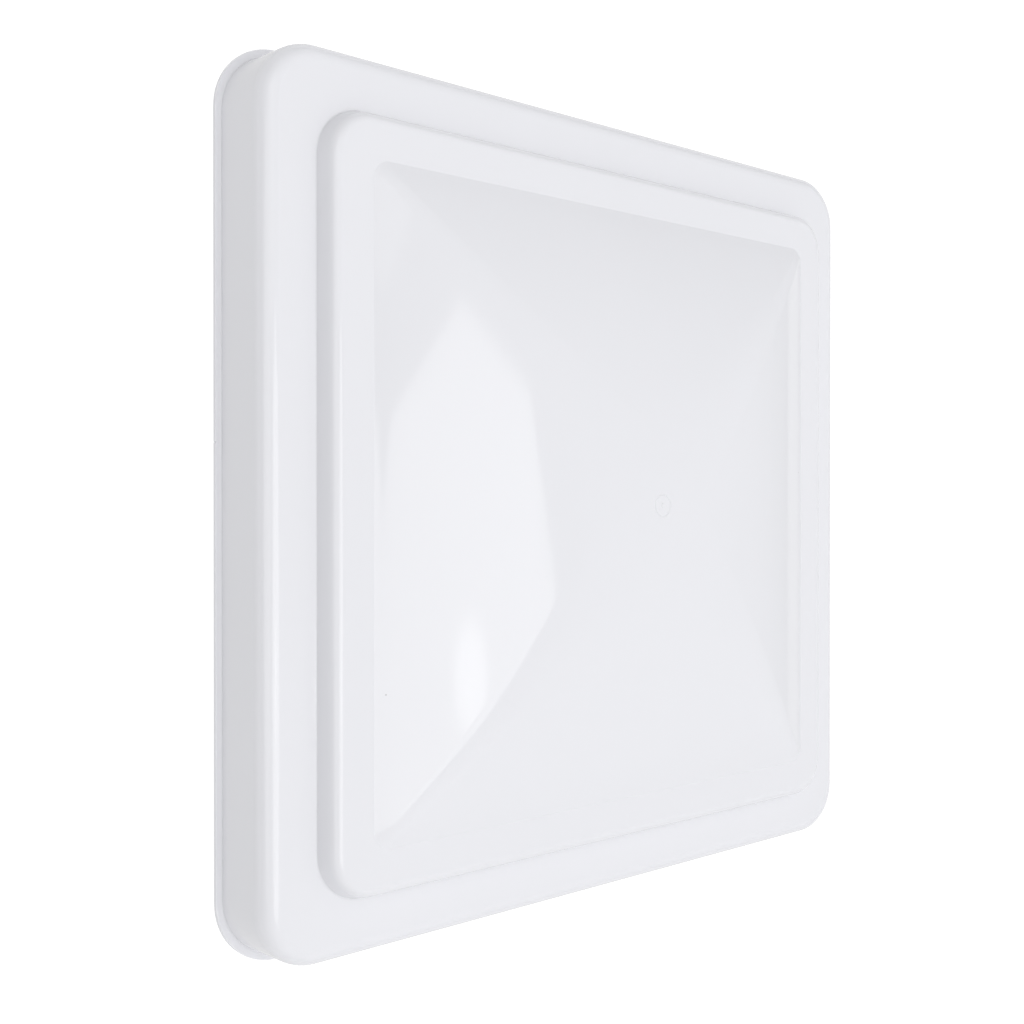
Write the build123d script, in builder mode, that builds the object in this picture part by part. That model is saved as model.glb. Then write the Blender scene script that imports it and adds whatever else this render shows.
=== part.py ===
from build123d import *
import os
from math import atan, cos, degrees, sin, sqrt, tan

# Hinged roof vent cover: a moulded lid with a foam seal, a track and slider for the vent's lift
# arm, and a piano hinge. Millimetres, +Z up, lid closed. The origin is the middle of the hinge's
# fixing screws, on the face that lies against the vent's curb. The hinge is at +Y, the free edge
# of the lid at -Y.

# ---------------------------------------------------------------- driving dimensions
# Lid, from the rim inwards. It is the same both ways, and heights are above the rim's underside.
lid_width = 400.0  # over the rim flange
wall = 2.2
flange_thickness = 2.0
flange_corner_radius = 30.0
flange_lip = 2.9  # how far the flange stands out of the skirt
skirt_corner_radius = 29.0
skirt_lean = 2.15  # how far the skirt leans in up to the outer shelf
shelf_height = 34.5
shelf_edge_radius = 7.5
shelf_border = 24.95  # from the shelf's edge, before rounding, to the foot of the raised deck
step_corner_radius = 22.8
step_lean = 3.3  # how far the step leans in up to the deck
step_rise = 10.1
deck_edge_radius = 5.0
deck_border = 19.2  # from the deck's edge, before rounding, to the crown
crown_corner_radius = 8.0
crown_rise = 29.3

# Piano hinge
hinge_length = 280.0
knuckle_count = 7
knuckle_gap = 0.5
leaf_sheet = 1.2
pin_radius = 1.5
pin_clearance = 0.06
knuckle_drop = 4.0  # from the rim down to the hinge axis, along the skirt
leaf_gap = 0.5  # between a leaf's edge and the other leaf's knuckles
leaf_corner_radius = 3.0
cover_leaf_margin = 2.0  # from the upper leaf to the rounding of the shelf's edge
frame_leaf_margin = 9.3  # from the fixing screws to the lower leaf's edge
screw_drop = 15.0  # from the hinge axis down to the fixing screws
screw_hole_radius = 2.2
screw_end_margin = 25.0  # from the outer fixing screws to the leaf's ends
inner_screw_spacing = 90.0
pin_cap_radius = 3.2
pin_cap_length = 5.0
pin_cap_depth = 3.5
pin_cap_rounding = 1.0
notch_clearance = 3.0

# Rivets that hold the hinge's upper leaf to the skirt
rivet_count = 5
rivet_end_margin = 16.0
rivet_radius = 1.6
rivet_head_radius = 3.2
rivet_head_height = 1.1
rivet_head_rounding = 0.9
rivet_tail_radius = 2.4
rivet_tail_length = 2.2
rivet_tail_rounding = 0.8
rivet_washer_radius = 5.0
rivet_washer_thickness = 1.0

# Lift track: a folded channel, open below, with a flat foot at each end
track_width = 26.0
track_depth = 10.0
track_sheet = 1.2
track_bend_radius = 2.0
track_slot = 12.0
channel_end_margin = 21.0  # from the screws in to the channel's end
foot_end_margin = 7.0  # from the screws out to the foot's end
foot_corner_radius = 3.0
stop_length = 6.0
stop_lug_depth = 2.5

# Screws that hold the track to four bosses under the deck
boss_spacing = 13.0
boss_inset = 8.5  # from the crown's edge out to the bosses
boss_height = 9.4
boss_radius = 4.5
track_screw_radius = 1.6
track_screw_clearance = 0.4
track_screw_length = 10.0
track_screw_spare_depth = 0.5
track_screw_head_radius = 3.6
track_screw_head_height = 2.2
track_screw_head_rounding = 1.0
recess_width = 1.0
recess_length = 4.0
recess_depth = 1.1
track_washer_radius = 4.5
track_washer_thickness = 0.8

# Slider that the lift arm pulls along the track
slide_clearance = 0.4
shoe_length = 34.0
shoe_edge_radius = 1.5
eye_length = 22.0
eye_width = 16.0
eye_height = 14.0
eye_rounding = 6.0
bush_drop = 7.5  # from the top of the eye down to the bush
bush_outer_radius = 4.0
bush_bore_radius = 2.6
bush_flange_radius = 5.5
bush_flange_thickness = 1.0

# Foam seal under the outer shelf, in four strips
seal_strip_width = 14.0
seal_thickness = 9.5
seal_gap = 0.5
seal_margin = 0.6  # from the strips to the rounding inside the shelf's edge

# ---------------------------------------------------------------- places worked out from them
skirt_width = lid_width - 2 * flange_lip
shelf_width = skirt_width - 2 * skirt_lean
step_width = shelf_width - 2 * shelf_border
deck_width = step_width - 2 * step_lean
deck_height = shelf_height + step_rise
crown_width = deck_width - 2 * deck_border

skirt_draft = atan(skirt_lean / (shelf_height - flange_thickness))
step_draft = atan(step_lean / step_rise)
skirt_foot_width = skirt_width + 2 * flange_thickness * tan(skirt_draft)
skirt_foot_radius = skirt_corner_radius + flange_thickness * tan(skirt_draft)
skirt_inset = wall / cos(skirt_draft)
step_inset = wall / cos(step_draft) - wall * tan(step_draft)

knuckle_bore_radius = pin_radius + pin_clearance
knuckle_radius = knuckle_bore_radius + leaf_sheet
knuckle_pitch = hinge_length / knuckle_count
knuckle_length = knuckle_pitch - knuckle_gap

cover_leaf_height = (shelf_height - shelf_edge_radius) / cos(skirt_draft) - cover_leaf_margin
outer_screw_spacing = hinge_length - 2 * screw_end_margin
rivet_spacing = (hinge_length - 2 * rivet_end_margin) / (rivet_count - 1)
rivet_height = (leaf_gap + cover_leaf_height) / 2

hinge_axis = Vector(0, knuckle_radius, screw_drop)
up_the_skirt = Vector(0, -sin(skirt_draft), cos(skirt_draft))
out_of_skirt = Vector(0, cos(skirt_draft), sin(skirt_draft))
land_origin = hinge_axis + up_the_skirt * knuckle_drop - out_of_skirt * knuckle_radius
seat_origin = land_origin - Vector(0, skirt_foot_width / 2, 0)

seat = Plane(seat_origin)  # the rim's underside, at the lid's centre
shelf_underside = seat.offset(shelf_height - wall)
deck_underside = seat.offset(deck_height - wall)
track_seat = deck_underside.offset(-boss_height)
hinge_land = Plane(land_origin, x_dir=(-1, 0, 0), z_dir=out_of_skirt)  # rear skirt, local y up it
curb_face = Plane((0, 0, 0), x_dir=(-1, 0, 0), z_dir=(0, 1, 0))  # back of the lower leaf
track_section = Plane(track_seat.origin, x_dir=(1, 0, 0), z_dir=(0, -1, 0))

boss_offset = crown_width / 2 + boss_inset
channel_length = 2 * (boss_offset - channel_end_margin)
track_length = 2 * (boss_offset + foot_end_margin)
track_inner_width = track_width - 2 * track_sheet
track_inner_depth = track_depth - 2 * track_sheet
slider_travel = channel_length / 2 - stop_length - shoe_length / 2 - slide_clearance
eye_top = -track_depth - slide_clearance  # below the track seat
bush_height = eye_top - bush_drop

# The strips lie on the flat of the shelf's underside, inside the rounding of its edge.
seal_seat = shelf_underside.offset(-seal_thickness)
flat_inset = skirt_inset + (shelf_height - wall) * tan(skirt_draft) + shelf_edge_radius - wall
seal_outer_width = skirt_foot_width - 2 * (flat_inset + seal_margin)
flat_corner_radius = skirt_foot_radius - flat_inset
seal_corner_cut = flat_corner_radius - seal_margin - sqrt(
    seal_margin * (2 * flat_corner_radius - seal_margin)
)


def knuckle_middles(first):
    """X of every second knuckle's middle, counted from the given one."""
    left = -hinge_length / 2 + knuckle_pitch / 2
    return [left + i * knuckle_pitch for i in range(first, knuckle_count, 2)]


def across(x, y, z):
    """A plane square to X at this point, for what is turned about an axis along X."""
    return Plane((x, y, z), x_dir=(0, 1, 0), z_dir=(1, 0, 0))


def add_draughted(plane, width, radius, height, draught, edge_radius):
    """A rounded square that narrows as it rises, with its top edge rounded."""
    with BuildSketch(plane) as foot:
        RectangleRounded(width, width, radius)
    block = extrude(foot.sketch, amount=height, taper=degrees(draught))
    fillet(block.faces().sort_by(Axis.Z)[-1].edges(), edge_radius)


def add_crown(plane):
    """The pillow: two shallow barrel vaults crossed at right angles, on a rounded square."""
    side = crown_width / 2
    root = plane.offset(-wall)  # it reaches a little into the form below, to join it soundly
    with BuildPart(mode=Mode.PRIVATE) as crown:
        for x_dir, z_dir, mode in (
            ((1, 0, 0), (0, -1, 0), Mode.ADD),
            ((0, 1, 0), (1, 0, 0), Mode.INTERSECT),
        ):
            with BuildSketch(Plane(plane.origin, x_dir=x_dir, z_dir=z_dir)):
                with BuildLine():
                    ThreePointArc((-side, 0), (0, crown_rise), (side, 0))
                    Polyline((side, 0), (side, -wall), (-side, -wall), (-side, 0))
                make_face()
            extrude(amount=crown_width, both=True, mode=mode)
        with BuildSketch(root):
            RectangleRounded(crown_width, crown_width, crown_corner_radius)
        extrude(amount=2 * crown_rise, mode=Mode.INTERSECT)
    add(crown.part)


def save(piece, name):
    piece.part.label = name
    export_step(piece.part, f"parts/{name}.step")


os.makedirs("parts", exist_ok=True)

# ---------------------------------------------------------------- lid
# Outside of the moulding, as a solid block: skirt, raised deck, crown, and the rim flange, which
# stops short of the hinge so that the upper leaf can pass.
with BuildPart() as outside:
    add_draughted(
        seat, skirt_foot_width, skirt_foot_radius, shelf_height, skirt_draft, shelf_edge_radius
    )
    add_draughted(
        seat.offset(shelf_height), step_width, step_corner_radius,
        step_rise, step_draft, deck_edge_radius,
    )
    add_crown(seat.offset(deck_height))
    with BuildSketch(seat):
        RectangleRounded(lid_width, lid_width, flange_corner_radius)
        with Locations((0, lid_width / 2)):
            notch_length = hinge_length + 2 * (pin_cap_length + notch_clearance)
            Rectangle(notch_length, 2 * flange_lip, mode=Mode.SUBTRACT)
    extrude(amount=flange_thickness)

# Inside of the moulding: the same forms one wall further in, less the four screw bosses.
with BuildPart() as inside:
    add_draughted(
        seat, skirt_foot_width - 2 * skirt_inset, skirt_foot_radius - skirt_inset,
        shelf_height - wall, skirt_draft, shelf_edge_radius - wall,
    )
    add_draughted(
        shelf_underside, step_width - 2 * step_inset, step_corner_radius - step_inset,
        step_rise, step_draft, deck_edge_radius - wall,
    )
    add_crown(deck_underside)
    with BuildSketch(track_seat):
        with GridLocations(boss_spacing, 2 * boss_offset, 2, 2):
            Circle(boss_radius)
    extrude(amount=boss_height, mode=Mode.SUBTRACT)

with BuildPart() as cover_shell:
    add(outside.part)
    add(inside.part, mode=Mode.SUBTRACT)
    with BuildSketch(track_seat):
        with GridLocations(boss_spacing, 2 * boss_offset, 2, 2):
            Circle(track_screw_radius)
    pilot_depth = (
        track_screw_length - track_sheet - track_washer_thickness + track_screw_spare_depth
    )
    extrude(amount=pilot_depth, mode=Mode.SUBTRACT)
    with BuildSketch(hinge_land):
        with Locations((0, rivet_height)), GridLocations(rivet_spacing, 0, rivet_count, 1):
            Circle(rivet_radius)
    extrude(amount=-wall, mode=Mode.SUBTRACT)
save(cover_shell, "cover_shell")

# ---------------------------------------------------------------- foam seal
# The front and rear strips run past the side strips. All four are cut from one square outline
# that has its corners cut off, to clear the lid's rounded corners.
seal_reach = (seal_outer_width - seal_strip_width) / 2
side_strip_length = seal_outer_width - 2 * (seal_strip_width + seal_gap)
for name, x, y, strip_width, strip_length in (
    ("seal_front", 0, -seal_reach, seal_outer_width, seal_strip_width),
    ("seal_rear", 0, seal_reach, seal_outer_width, seal_strip_width),
    ("seal_left", -seal_reach, 0, seal_strip_width, side_strip_length),
    ("seal_right", seal_reach, 0, seal_strip_width, side_strip_length),
):
    with BuildPart() as seal:
        with BuildSketch(seal_seat) as outline:
            Rectangle(seal_outer_width, seal_outer_width)
            chamfer(outline.vertices(), seal_corner_cut)
            with Locations((x, y)):
                Rectangle(strip_width, strip_length, mode=Mode.INTERSECT)
        extrude(amount=seal_thickness)
    save(seal, name)

# ---------------------------------------------------------------- hinge
with BuildPart() as cover_hinge_leaf:
    with BuildSketch(hinge_land):
        with Locations((0, leaf_gap)):
            Rectangle(hinge_length, cover_leaf_height - leaf_gap, align=(Align.CENTER, Align.MIN))
    wing = extrude(amount=leaf_sheet)
    top_corners = wing.edges().filter_by(Axis(land_origin, out_of_skirt)).group_by(Axis.Z)[-1]
    fillet(top_corners, leaf_corner_radius)
    with BuildSketch(hinge_land):
        with Locations(*[(x, -knuckle_drop) for x in knuckle_middles(1)]):
            tab_height = knuckle_drop + 2 * leaf_gap
            Rectangle(knuckle_length, tab_height, align=(Align.CENTER, Align.MIN))
    extrude(amount=leaf_sheet)
    with BuildSketch(*[across(x, hinge_axis.Y, hinge_axis.Z) for x in knuckle_middles(1)]):
        Circle(knuckle_radius)
    extrude(amount=knuckle_length / 2, both=True)
    with BuildSketch(across(*hinge_axis)):
        Circle(knuckle_bore_radius)
    extrude(amount=hinge_length, both=True, mode=Mode.SUBTRACT)
    with BuildSketch(hinge_land):
        with Locations((0, rivet_height)), GridLocations(rivet_spacing, 0, rivet_count, 1):
            Circle(rivet_radius)
    extrude(amount=leaf_sheet, mode=Mode.SUBTRACT)
save(cover_hinge_leaf, "cover_hinge_leaf")

with BuildPart() as frame_hinge_leaf:
    plate_height = screw_drop - knuckle_radius - leaf_gap + frame_leaf_margin
    with BuildSketch(curb_face):
        with Locations((0, -frame_leaf_margin)):
            Rectangle(hinge_length, plate_height, align=(Align.CENTER, Align.MIN))
    wing = extrude(amount=leaf_sheet)
    fillet(wing.edges().filter_by(Axis.Y).group_by(Axis.Z)[0], leaf_corner_radius)
    with BuildSketch(curb_face):
        with Locations(*[(x, screw_drop) for x in knuckle_middles(0)]):
            tab_height = knuckle_radius + 2 * leaf_gap
            Rectangle(knuckle_length, tab_height, align=(Align.CENTER, Align.MAX))
    extrude(amount=leaf_sheet)
    with BuildSketch(*[across(x, hinge_axis.Y, hinge_axis.Z) for x in knuckle_middles(0)]):
        Circle(knuckle_radius)
    extrude(amount=knuckle_length / 2, both=True)
    with BuildSketch(across(*hinge_axis)):
        Circle(knuckle_bore_radius)
    extrude(amount=hinge_length, both=True, mode=Mode.SUBTRACT)
    with BuildSketch(curb_face):
        for spacing in (outer_screw_spacing, inner_screw_spacing):
            with GridLocations(spacing, 0, 2, 1):
                Circle(screw_hole_radius)
    extrude(amount=leaf_sheet, mode=Mode.SUBTRACT)
save(frame_hinge_leaf, "frame_hinge_leaf")

knuckles_end = (hinge_length - knuckle_gap) / 2
pin_half_length = knuckles_end + pin_cap_depth
with BuildPart() as hinge_pin:
    with BuildSketch(across(*hinge_axis)):
        Circle(pin_radius)
    extrude(amount=pin_half_length, both=True)
save(hinge_pin, "hinge_pin")

# A push-on cap closes each end of the pin.
for name, side in (("hinge_cap_left", -1), ("hinge_cap_right", 1)):
    with BuildPart() as cap:
        with BuildSketch(across(side * knuckles_end, hinge_axis.Y, hinge_axis.Z)):
            Circle(pin_cap_radius)
        extrude(amount=side * pin_cap_length)
        fillet(cap.edges().group_by(Axis.X)[-(side + 1) // 2], pin_cap_rounding)
        with BuildSketch(across(side * knuckles_end, hinge_axis.Y, hinge_axis.Z)):
            Circle(pin_radius)
        extrude(amount=side * pin_cap_depth, mode=Mode.SUBTRACT)
    save(cap, name)

# Blind rivets: a domed head on the leaf, and a set tail on the washer inside the skirt.
with BuildPart() as hinge_rivets:
    with BuildSketch(hinge_land.offset(leaf_sheet)):
        with Locations((0, rivet_height)), GridLocations(rivet_spacing, 0, rivet_count, 1):
            Circle(rivet_head_radius)
    extrude(amount=rivet_head_height)
    head_rims = hinge_rivets.faces().sort_by(Axis(land_origin, out_of_skirt))[-rivet_count:].edges()
    fillet(head_rims, rivet_head_rounding)
    grip = leaf_sheet + wall + rivet_washer_thickness
    with BuildSketch(hinge_land.offset(leaf_sheet)):
        with Locations((0, rivet_height)), GridLocations(rivet_spacing, 0, rivet_count, 1):
            Circle(rivet_radius)
    extrude(amount=-grip)
    with BuildSketch(hinge_land.offset(leaf_sheet - grip)):
        with Locations((0, rivet_height)), GridLocations(rivet_spacing, 0, rivet_count, 1):
            Circle(rivet_tail_radius)
    extrude(amount=-rivet_tail_length)
    tail_rims = hinge_rivets.faces().sort_by(Axis(land_origin, out_of_skirt))[:rivet_count].edges()
    fillet(tail_rims, rivet_tail_rounding)
save(hinge_rivets, "hinge_rivets")

with BuildPart() as rivet_washers:
    with BuildSketch(hinge_land.offset(-wall)):
        with Locations((0, rivet_height)), GridLocations(rivet_spacing, 0, rivet_count, 1):
            Circle(rivet_washer_radius)
            Circle(rivet_radius, mode=Mode.SUBTRACT)
    extrude(amount=-rivet_washer_thickness)
save(rivet_washers, "rivet_washers")

# ---------------------------------------------------------------- lift track
with BuildPart() as lift_track:
    with BuildSketch(track_section) as channel:
        Rectangle(track_width, track_depth, align=(Align.CENTER, Align.MAX))
        fillet(channel.vertices(), track_bend_radius)
        with Locations((0, -track_sheet)):
            Rectangle(
                track_inner_width, track_inner_depth,
                align=(Align.CENTER, Align.MAX), mode=Mode.SUBTRACT,
            )
        with Locations((0, -track_depth)):
            Rectangle(track_slot, 2 * track_sheet, mode=Mode.SUBTRACT)
    extrude(amount=channel_length / 2, both=True)
    with BuildSketch(track_seat):
        RectangleRounded(track_width, track_length, foot_corner_radius)
        with GridLocations(boss_spacing, 2 * boss_offset, 2, 2):
            Circle(track_screw_radius + track_screw_clearance, mode=Mode.SUBTRACT)
    extrude(amount=-track_sheet)
save(lift_track, "lift_track")

# A moulded stop fills each end of the channel, with a lug through the slot.
for name, side in (("track_stop_front", -1), ("track_stop_rear", 1)):
    with BuildPart() as stop:
        with BuildSketch(track_section.offset(-side * channel_length / 2)):
            with Locations((0, -track_depth / 2)):
                Rectangle(track_inner_width, track_inner_depth)
            with Locations((0, -track_depth / 2)):
                lug_reach = track_depth / 2 + stop_lug_depth
                Rectangle(track_slot, lug_reach, align=(Align.CENTER, Align.MAX))
        extrude(amount=side * stop_length)
    save(stop, name)

with BuildPart() as track_washers:
    with BuildSketch(track_seat.offset(-track_sheet)):
        with GridLocations(boss_spacing, 2 * boss_offset, 2, 2):
            Circle(track_washer_radius)
            Circle(track_screw_radius + track_screw_clearance, mode=Mode.SUBTRACT)
    extrude(amount=-track_washer_thickness)
save(track_washers, "track_washers")

# Pan-head screws with a cross recess, driven up into the bosses.
head_seat = track_seat.offset(-track_sheet - track_washer_thickness)
with BuildPart() as track_screws:
    with BuildSketch(head_seat):
        with GridLocations(boss_spacing, 2 * boss_offset, 2, 2):
            Circle(track_screw_head_radius)
    extrude(amount=-track_screw_head_height)
    fillet(track_screws.edges().group_by(Axis.Z)[0], track_screw_head_rounding)
    with BuildSketch(head_seat):
        with GridLocations(boss_spacing, 2 * boss_offset, 2, 2):
            Circle(track_screw_radius)
    extrude(amount=track_screw_length)
    with BuildSketch(head_seat.offset(-track_screw_head_height)):
        with GridLocations(boss_spacing, 2 * boss_offset, 2, 2):
            Rectangle(recess_length, recess_width)
            Rectangle(recess_width, recess_length)
    extrude(amount=recess_depth, mode=Mode.SUBTRACT)
save(track_screws, "track_screws")

# ---------------------------------------------------------------- slider
# The shoe runs in the channel, its neck in the slot, and its eye hangs below for the lift arm.
with BuildPart() as slider_shoe:
    with BuildSketch(track_section):
        with Locations((0, -track_depth / 2)):
            Rectangle(
                track_inner_width - 2 * slide_clearance, track_inner_depth - 2 * slide_clearance
            )
    slab = extrude(amount=shoe_length / 2, both=True)
    fillet(slab.edges().filter_by(Axis.Z), shoe_edge_radius)
    with BuildSketch(track_seat.offset(-track_depth / 2)):
        Rectangle(track_slot - 2 * slide_clearance, eye_length)
    extrude(amount=eye_top + track_depth / 2)
    with BuildSketch(track_seat.offset(eye_top)):
        Rectangle(eye_width, eye_length)
    eye = extrude(amount=-eye_height)
    fillet(eye.edges().filter_by(Axis.X).group_by(Axis.Z)[0], eye_rounding)
    with BuildSketch(across(0, seat_origin.Y, track_seat.origin.Z + bush_height)):
        Circle(bush_outer_radius)
    extrude(amount=eye_width, both=True, mode=Mode.SUBTRACT)
save(slider_shoe, "slider_shoe")

with BuildPart() as arm_bush:
    with BuildSketch(across(-eye_width / 2, seat_origin.Y, track_seat.origin.Z + bush_height)):
        Circle(bush_outer_radius)
    extrude(amount=eye_width)
    with BuildSketch(across(eye_width / 2, seat_origin.Y, track_seat.origin.Z + bush_height)):
        Circle(bush_flange_radius)
    extrude(amount=bush_flange_thickness)
    with BuildSketch(across(0, seat_origin.Y, track_seat.origin.Z + bush_height)):
        Circle(bush_bore_radius)
    extrude(amount=eye_width, both=True, mode=Mode.SUBTRACT)
save(arm_bush, "arm_bush")

print(f"rim centre {tuple(round(v, 3) for v in seat_origin)}")
print(f"hinge axis {tuple(round(v, 3) for v in hinge_axis)}, skirt draft {degrees(skirt_draft):.2f} deg")
print(f"slider travel {slider_travel:.1f} mm each way")
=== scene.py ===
# %% [markdown]
# A roof vent cover, modelled and lit
#
# The object is a hinged lid for a roof vent: a white moulded cover with a foam seal under its
# outer shelf, a piano hinge along the rear skirt, and a folded track under the crown in which
# a slider runs for the vent's lift arm. The exact frame of the part, with its hinge and slide,
# is loaded first. Everything that follows is built round it, in metres, in the same place.

# %% Load the frame
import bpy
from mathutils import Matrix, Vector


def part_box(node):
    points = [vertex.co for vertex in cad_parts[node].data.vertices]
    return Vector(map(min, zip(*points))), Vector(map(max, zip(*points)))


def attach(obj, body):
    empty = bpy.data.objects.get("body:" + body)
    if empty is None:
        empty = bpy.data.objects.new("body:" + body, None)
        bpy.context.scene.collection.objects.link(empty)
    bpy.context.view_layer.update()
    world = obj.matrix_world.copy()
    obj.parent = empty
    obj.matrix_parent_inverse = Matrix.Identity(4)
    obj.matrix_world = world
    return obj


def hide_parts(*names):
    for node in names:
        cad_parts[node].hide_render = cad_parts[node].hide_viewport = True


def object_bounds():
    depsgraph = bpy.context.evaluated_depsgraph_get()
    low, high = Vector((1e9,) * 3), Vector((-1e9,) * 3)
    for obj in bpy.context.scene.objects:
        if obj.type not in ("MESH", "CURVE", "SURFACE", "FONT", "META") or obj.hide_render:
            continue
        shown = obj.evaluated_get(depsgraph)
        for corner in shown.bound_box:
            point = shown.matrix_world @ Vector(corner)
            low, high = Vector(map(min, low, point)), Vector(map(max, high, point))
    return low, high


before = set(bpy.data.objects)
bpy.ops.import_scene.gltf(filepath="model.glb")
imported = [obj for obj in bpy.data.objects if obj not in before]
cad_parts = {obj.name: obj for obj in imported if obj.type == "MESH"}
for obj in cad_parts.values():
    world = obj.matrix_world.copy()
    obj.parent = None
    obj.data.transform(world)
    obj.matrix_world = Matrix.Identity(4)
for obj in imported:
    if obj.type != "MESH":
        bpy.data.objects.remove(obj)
cad_box = [list(corner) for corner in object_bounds()]

from math import atan, atan2, copysign, cos, pi, radians, sin, sqrt, tan

import bmesh
import bpy
from mathutils import Matrix, Quaternion, Vector

mm = 0.001

# %% [markdown]
# Working by hand from a script
#
# Each operator acts on whatever is selected, so a piece is always started with nothing selected.
# Faces and edges are then picked by their place. These few helpers are the hands: start a
# primitive, go in and out of edit mode, pick by a rule, apply a modifier, and set a finished
# piece down with its place in its mesh, so that its object stays at the origin unturned.


# %% Hands
def nothing_selected():
    if bpy.context.mode != "OBJECT":
        bpy.ops.object.mode_set(mode="OBJECT")
    bpy.ops.object.select_all(action="DESELECT")


def named(name):
    piece = bpy.context.active_object
    piece.name = piece.data.name = name
    return piece


def take(*pieces):
    nothing_selected()
    for piece in pieces:
        piece.select_set(True)
    bpy.context.view_layer.objects.active = pieces[0]
    return pieces[0]


def edit(piece, kind="FACE"):
    take(piece)
    bpy.ops.object.mode_set(mode="EDIT")
    bpy.ops.mesh.select_mode(type=kind)
    bpy.ops.mesh.select_all(action="DESELECT")
    return bmesh.from_edit_mesh(piece.data)


def pick(piece, parts, rule):
    """Selects the parts of the edited mesh that follow the rule, and nothing else."""
    bpy.ops.mesh.select_all(action="DESELECT")
    mesh = bmesh.from_edit_mesh(piece.data)
    group = getattr(mesh, parts)
    for part in group:
        if rule(part):
            part.select_set(True)
    mesh.select_flush_mode()
    bmesh.update_edit_mesh(piece.data)
    return sum(part.select for part in group)


def apply(piece, kind, **values):
    take(piece)
    modifier = piece.modifiers.new(kind.lower(), kind)
    for name, value in values.items():
        setattr(modifier, name, value)
    bpy.ops.object.modifier_apply(modifier=modifier.name)


def set_down(piece, place):
    """Moves a piece modelled at the origin to its place, inside its mesh."""
    take(piece)
    piece.matrix_world = place @ piece.matrix_world
    bpy.ops.object.transform_apply(location=True, rotation=True, scale=True)


def outward(piece):
    edit(piece)
    bpy.ops.mesh.select_all(action="SELECT")
    bpy.ops.mesh.remove_doubles(threshold=0.002 * mm)
    bpy.ops.mesh.normals_make_consistent(inside=False)
    bpy.ops.object.mode_set(mode="OBJECT")


def smooth(piece, angle=30):
    """Soft shading over gentle edges only. Large flat faces keep their own plain shading."""
    take(piece)
    bpy.ops.object.shade_smooth_by_angle(angle=radians(angle))
    apply(piece, "WEIGHTED_NORMAL", mode="FACE_AREA", weight=100, keep_sharp=True)


def tell(piece):
    size = [round(side / mm, 1) for side in piece.dimensions]
    print(f"{piece.name}: {len(piece.data.polygons)} faces, {size} mm")


# %% [markdown]
# Where the lid is
#
# The lid is the same both ways about its middle, so it is modelled standing on its rim at the
# origin and set down at the end. The shell's box gives that middle: half a width in from the
# free edge, at the height of the rim. The skirt, the shelf and the crown follow the part's own
# measures, given here in millimetres.

# %% The lid's measures
lid_half = 200.0
low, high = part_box("cover_shell")
rim = Vector((0, low.y + lid_half * mm, low.z))
on_the_rim = Matrix.Translation(rim)

wall = 2.2
skirt_half, skirt_radius = 197.232, 29.132  # at the rim's underside
shelf_height, shelf_edge = 34.5, 7.5
skirt_lean = atan(2.15 / 32.5)
step_half, step_radius = 170.0, 22.8  # at the shelf
deck_height, deck_edge = 44.6, 5.0
step_lean = atan(3.3 / 10.1)
crown_half, crown_rise, crown_radius = 147.5, 29.3, 8.0
crown_arc = (crown_half**2 + crown_rise**2) / (2 * crown_rise)
print("rim", [round(v / mm, 2) for v in rim])
print("top", round((high.z - low.z) / mm, 2), "mm above it")

# %% [markdown]
# The lid as contour lines
#
# A moulding like this could be cut from blocks, but its faces run into each other through soft
# edges, and a block's edges would each need their own bevel. It is easier to think of the lid as
# a hill on a map. Every contour is a square with round corners, so three numbers give it: half
# its width, its corner radius and its height. A contour is extruded from the one before and put
# in place. The list starts under the crown, comes down the inside, turns round the rim flange
# and climbs the outside again, so the skin closes on itself and the wall has its real thickness.
#
# A short extra contour beside each soft edge keeps the shading of the flat faces flat.


# %% Contours of the leaning walls
beside = 0.5  # from a soft edge to the extra contour
foot_steps = 4


def leaning_wall(half, radius, foot, top, lean, edge, foot_edge=0.0, steps=9):
    """A wall that leans in as it rises, with a hollow at its foot and a soft top edge."""
    line = []
    if foot_edge:
        across, up = half + foot_edge / cos(lean) - foot_edge * tan(lean), foot + foot_edge
        for i in range(foot_steps + 1):
            turn = -pi / 2 - (pi / 2 - lean) * i / foot_steps
            line.append((across + foot_edge * cos(turn), up + foot_edge * sin(turn)))
        line.insert(0, (line[0][0] + beside, foot))
    else:
        line.append((half, foot))
    across, up = half - (top - edge - foot) * tan(lean) - edge / cos(lean), top - edge
    line.append((across + edge * cos(lean) + beside * tan(lean), up + edge * sin(lean) - beside))
    for i in range(steps + 1):
        turn = lean + (pi / 2 - lean) * i / steps
        line.append((across + edge * cos(turn), up + edge * sin(turn)))
    line.append((across - beside, top))
    return [(x, radius - (half - x), z) for x, z in line]


outer_skirt = leaning_wall(skirt_half, skirt_radius, 0, shelf_height, skirt_lean, shelf_edge)
outer_step = leaning_wall(
    step_half, step_radius, shelf_height, deck_height, step_lean, deck_edge, foot_edge=0.9
)
skirt_inset = wall / cos(skirt_lean)
inner_skirt = leaning_wall(
    skirt_half - skirt_inset, skirt_radius - skirt_inset, 0, shelf_height - wall,
    skirt_lean, shelf_edge - wall,
)
step_inset = wall / cos(step_lean) - wall * tan(step_lean)
inner_step = leaning_wall(
    step_half - step_inset, step_radius - step_inset, shelf_height - wall,
    deck_height - wall, step_lean, deck_edge - wall,
)
print(len(outer_skirt + outer_step + inner_skirt + inner_step), "contours in the walls")

# %% [markdown]
# The crown
#
# The crown is a pillow made by two shallow vaults that cross. Where they meet, four creases run
# from the corners to the top. They are crisp at the corners and melt away towards the middle,
# because the vaults meet there at almost the same slope, and because the mould is blended. So
# the corner radius of the contours grows as they climb. In the middle of the top sits the small
# round mark that the plastic was fed through, with a faint ring round it.


# %% Contours of the crown
nearly_round = 0.985  # the widest corner a contour gets, as a part of its half width
crown_middle = 6.0  # where the gate mark takes over


def crown_height(half):
    return sqrt(crown_arc**2 - half**2) - (crown_arc - crown_rise)


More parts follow.
